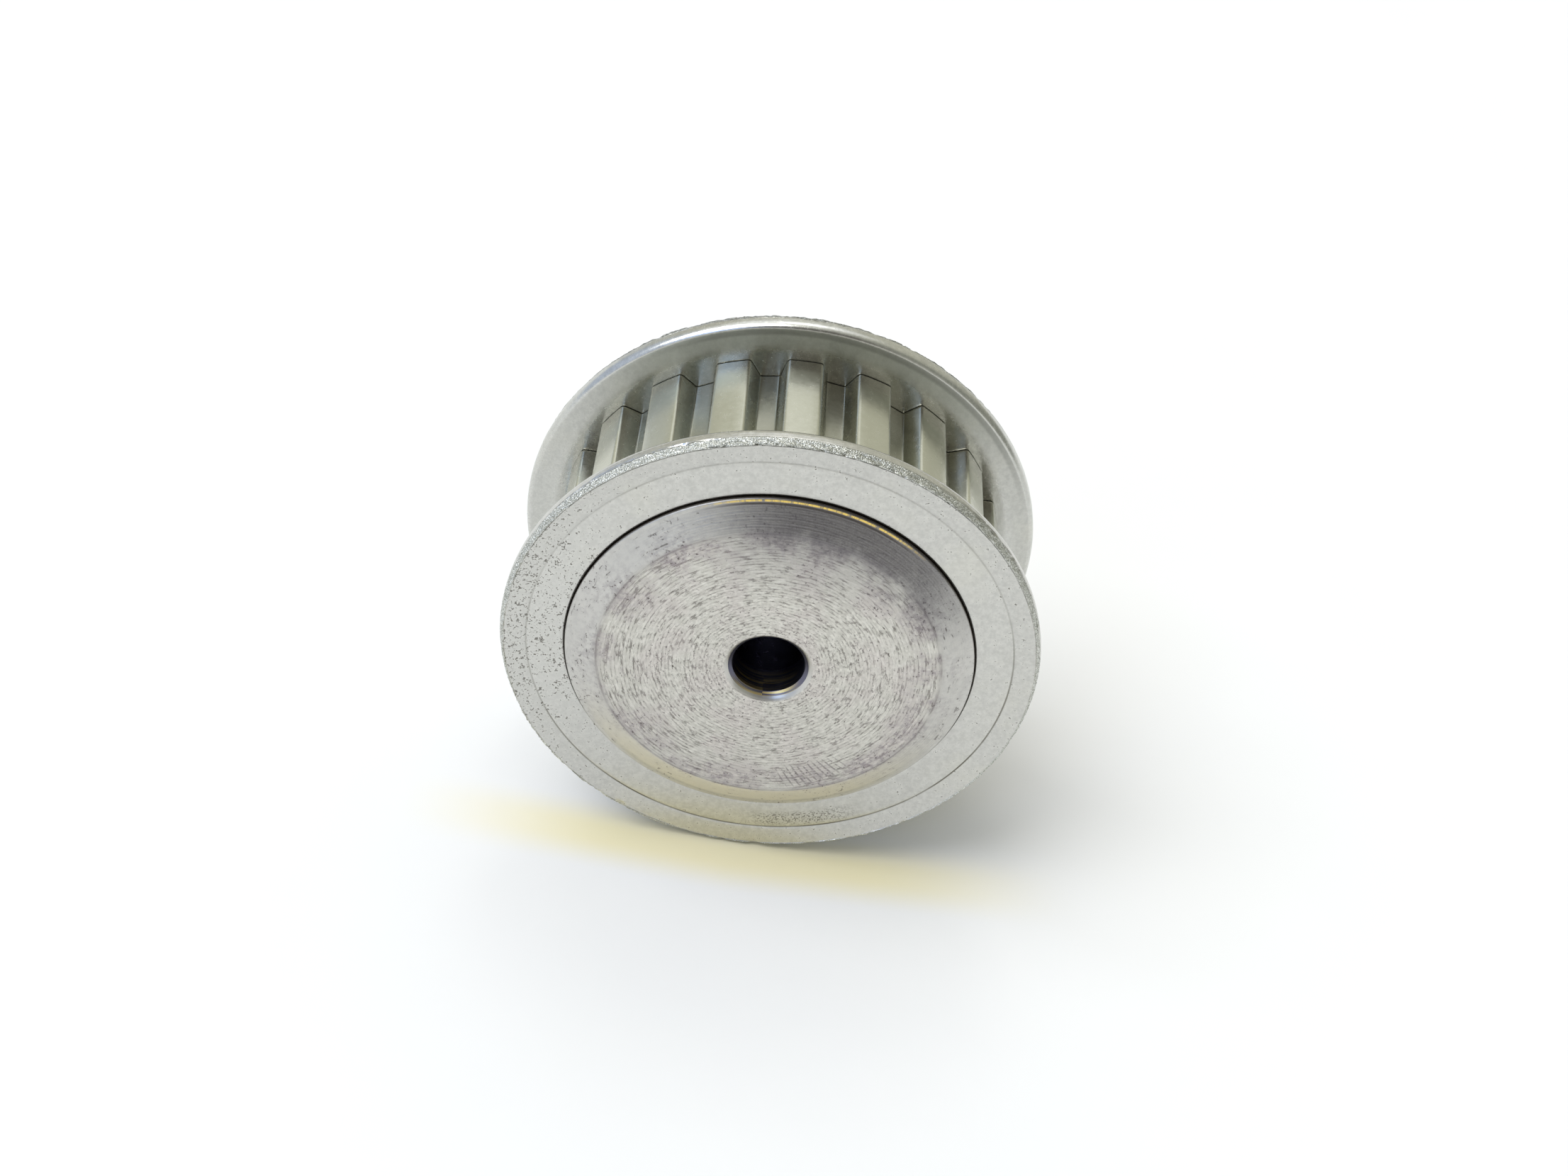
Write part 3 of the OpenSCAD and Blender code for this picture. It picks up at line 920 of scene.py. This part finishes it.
def build_pieces():
    """Makes the five pieces; each takes the place of its CAD node."""
    dress(toothed_body(), aluminium_material(), "pulley", "toothed_body")
    plate = plated_material("zinc_plate_front", 1, (0.605, 0.60, 0.565), 1.0)
    piece = flange("front_sheet_flange", "front_flange", -1, 31)
    dress(piece, plate, "pulley", "front_flange")
    # the rear flange's plate: the same plate with its torn band's glints dimmed, a painted shade
    plate = plated_material("zinc_plate_rear", 4, (0.60, 0.60, 0.565), 0.5)
    piece = flange("rear_sheet_flange", "rear_flange", 1, 57)
    dress(piece, plate, "pulley", "rear_flange")
    piece = grub_screw("top_grub_screw", "grub_screw_top", 0.0)
    oxide = blackened_material("black_oxide_top", 2)
    dress(piece, oxide, "top_screw", "grub_screw_top")
    piece = grub_screw("side_grub_screw", "grub_screw_side", 90.0)
    oxide = blackened_material("black_oxide_side", 5)
    dress(piece, oxide, "side_screw", "grub_screw_side")


# ---------------------------------------------------------------- stage, lights, camera


def floor():
    """A plain floor under the flange rims, large enough to reach past the picture's edges."""
    bpy.ops.mesh.primitive_plane_add(size=6.0, location=(0, 0, START_BOUNDS[0][2]))
    plane = bpy.context.object
    plane.name = "studio_floor"
    plane.data.materials.append(paper_material())


def add_lamp(name, data, azimuth, elevation):
    """A lamp aimed at the part from azimuth (0 in front, 90 on the +X side) and elevation."""
    lamp = bpy.data.objects.new(name, data)
    bpy.context.scene.collection.objects.link(lamp)
    a, e = math.radians(azimuth), math.radians(elevation)
    away = Vector((math.sin(a) * math.cos(e), -math.cos(a) * math.cos(e), math.sin(e)))
    lamp.rotation_euler = away.to_track_quat("Z", "Y").to_euler()
    return lamp, away


def area_light(name, size, power, colour, azimuth, elevation, distance=0.7):
    """A square soft light."""
    data = bpy.data.lights.new(name, "AREA")
    data.size = size
    data.energy = power
    data.color = colour
    lamp, away = add_lamp(name, data, azimuth, elevation)
    lamp.location = away * distance


def sun_light(name, strength, width, azimuth, elevation):
    """Very soft, even light from one side of the sky; width is its spread in degrees."""
    data = bpy.data.lights.new(name, "SUN")
    data.energy = strength
    data.angle = math.radians(width)
    add_lamp(name, data, azimuth, elevation)


def world_mix(tree, factor, a, b):
    """A colour between a and b; each may be a colour or a socket."""
    mix = tree.nodes.new("ShaderNodeMix")
    mix.data_type = "RGBA"
    tree.links.new(factor, mix.inputs[0])
    for socket, value in ((mix.inputs[6], a), (mix.inputs[7], b)):
        if isinstance(value, tuple):
            socket.default_value = (*value, 1)
        else:
            tree.links.new(value, socket)
    return mix.outputs[2]


def world():
    """Pale room whose patches show only as light and reflections; the camera sees a plain backdrop."""
    surroundings = bpy.data.worlds.new("pale_room")
    bpy.context.scene.world = surroundings
    surroundings.use_nodes = True
    tree = surroundings.node_tree
    coords = tree.nodes.new("ShaderNodeTexCoord")
    colour = ROOM_COLOUR
    for towards, start, full, shade in (
        LEFT_WINDOW,
        DIM_RIGHT,
        WARM_BEHIND,
        DARK_HIGH_IN_FRONT,
        BRIGHT_OVERHEAD,
    ):
        dot = tree.nodes.new("ShaderNodeVectorMath")
        dot.operation = "DOT_PRODUCT"
        tree.links.new(coords.outputs["Generated"], dot.inputs[0])
        dot.inputs[1].default_value = Vector(towards).normalized()
        step = tree.nodes.new("ShaderNodeMapRange")
        step.interpolation_type = "SMOOTHSTEP"
        step.inputs["From Min"].default_value = start
        step.inputs["From Max"].default_value = full
        tree.links.new(dot.outputs["Value"], step.inputs["Value"])
        colour = world_mix(tree, step.outputs[0], colour, shade)
    seen = tree.nodes.new("ShaderNodeLightPath").outputs["Is Camera Ray"]
    background = tree.nodes["Background"]
    tree.links.new(world_mix(tree, seen, colour, BACKDROP_COLOUR), background.inputs["Color"])
    background.inputs["Strength"].default_value = 1.0


def camera():
    """The photograph's view: from above the front end, rolled a little."""
    data = bpy.data.cameras.new("camera")
    data.sensor_width = 36.0
    data.lens = CAMERA_LENS
    data.clip_start = 0.005
    eye = bpy.data.objects.new("camera", data)
    bpy.context.scene.collection.objects.link(eye)
    back = Vector(CAMERA_BACK).normalized()
    right = Vector(CAMERA_RIGHT)
    right = (right - right.dot(back) * back).normalized()
    up = back.cross(right)
    turn = Matrix((right, up, back)).transposed().to_4x4()
    eye.matrix_world = Matrix.Translation(Vector(CAMERA_PLACE) * MM) @ turn
    bpy.context.scene.camera = eye


def stage():
    """Floor, surroundings, lights and camera."""
    bpy.context.scene.view_settings.view_transform = "Standard"
    floor()
    world()
    sun_light("soft_daylight", strength=1.8, width=44, azimuth=285, elevation=58)
    area_light("blue_window", 0.2, 0.35, (0.42, 0.60, 1.0), azimuth=328, elevation=32)
    area_light("rear_window", 0.16, 0.22, (1.0, 0.99, 0.96), azimuth=186, elevation=62)
    camera()


build_pieces()
stage()
